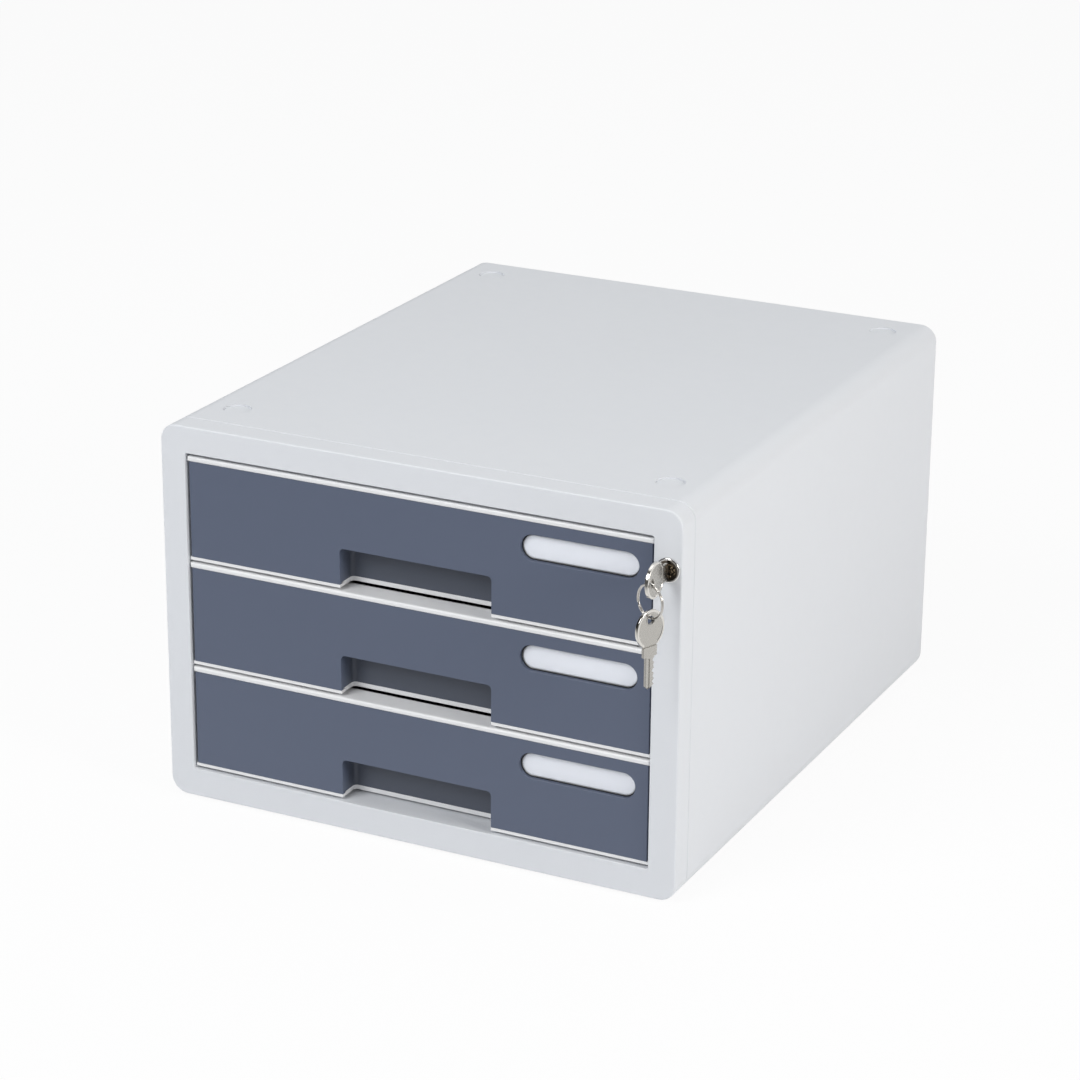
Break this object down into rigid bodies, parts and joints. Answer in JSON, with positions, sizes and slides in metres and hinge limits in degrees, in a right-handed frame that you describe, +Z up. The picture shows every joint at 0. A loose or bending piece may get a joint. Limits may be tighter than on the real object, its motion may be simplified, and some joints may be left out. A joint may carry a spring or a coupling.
{
  "type": "desktop file drawer",
  "caption": "Desktop cabinet with stacked drawers for papers, finger pockets, label windows and a cam lock with keys on a ring.",
  "frame": {"origin": "centre of the four feet, in the plane that they rest on", "axes": "+Z up, -Y out of the drawers' fronts, +X to the right as seen from the front"},
  "size_m": [0.3165, 0.4035, 0.223],
  "materials": {
    "housing_plastic": "fine spark texture, pale grey-white",
    "inner_plastic": "plain moulded, light grey",
    "steel": "zinc plated",
    "rubber": "matt black",
    "chrome": "bright plated",
    "brass": "stamped",
    "tray_plastic": "smooth moulded, white",
    "face_plastic": "fine spark texture, slate grey-blue",
    "clear_plastic": "clear moulded",
    "card": "paper card",
    "key_metal": "nickel plated, tumbled"
  },
  "bodies": {
    "housing": {"housing_shell": "housing_plastic", "front_bezel": "housing_plastic", "rear_panel": "inner_plastic", "side_frame_left": "inner_plastic", "side_frame_right": "inner_plastic", "front_screws": "steel", "rear_screws": "steel", "foot_front_left": "rubber", "foot_front_right": "rubber", "foot_rear_left": "rubber", "foot_rear_right": "rubber", "lock_cylinder": "chrome", "lock_clip": "steel", "lock_bar_guides": "inner_plastic"},
    "drawer_1": {"drawer_1_tray": "tray_plastic", "drawer_1_face": "face_plastic", "drawer_1_label_window": "clear_plastic", "drawer_1_label_card": "card", "drawer_1_catch": "steel"},
    "drawer_2": {"drawer_2_tray": "tray_plastic", "drawer_2_face": "face_plastic", "drawer_2_label_window": "clear_plastic", "drawer_2_label_card": "card", "drawer_2_catch": "steel"},
    "drawer_3": {"drawer_3_tray": "tray_plastic", "drawer_3_face": "face_plastic", "drawer_3_label_window": "clear_plastic", "drawer_3_label_card": "card", "drawer_3_catch": "steel"},
    "plug": {"lock_plug": "chrome", "lock_wafers": "brass", "lock_cam": "steel", "cam_screw": "steel"},
    "bar": {"lock_bar": "steel"},
    "key_in_lock": {"key": "key_metal"},
    "ring": {"key_ring": "key_metal"},
    "spare": {"spare_key": "key_metal"}
  },
  "joints": [
    {"name": "drawer_1_slide", "type": "slide", "parent": "housing", "child": "drawer_1", "axis": [0, -1, 0], "range_m": [0, 0.276]},
    {"name": "drawer_2_slide", "type": "slide", "parent": "housing", "child": "drawer_2", "axis": [0, -1, 0], "range_m": [0, 0.276]},
    {"name": "drawer_3_slide", "type": "slide", "parent": "housing", "child": "drawer_3", "axis": [0, -1, 0], "range_m": [0, 0.276]},
    {"name": "lock_turn", "type": "hinge", "parent": "housing", "child": "plug", "pos_m": [0.1497, -0.1936, 0.1905], "axis": [0, -1, 0], "range_deg": [0, 90]},
    {"name": "bar_slide", "type": "slide", "parent": "housing", "child": "bar", "axis": [0, 0, -1], "range_m": [0, 0.00707]},
    {"name": "key_slide", "type": "slide", "parent": "plug", "child": "key_in_lock", "axis": [0, -1, 0], "range_m": [0, 0.022]},
    {"name": "ring_swing", "type": "hinge", "parent": "key_in_lock", "child": "ring", "pos_m": [0.1497, -0.2157, 0.1896], "axis": [1, 0, 0], "range_deg": [-60, 15]},
    {"name": "spare_swing", "type": "hinge", "parent": "ring", "child": "spare", "pos_m": [0.1497, -0.2157, 0.1716], "axis": [0.9304, -0.3665, 0], "range_deg": [-25, 25]}
  ],
  "couplings": [
    {"joint": "lock_turn", "follows": "bar_slide", "rad_per_m": 222.14}
  ]
}
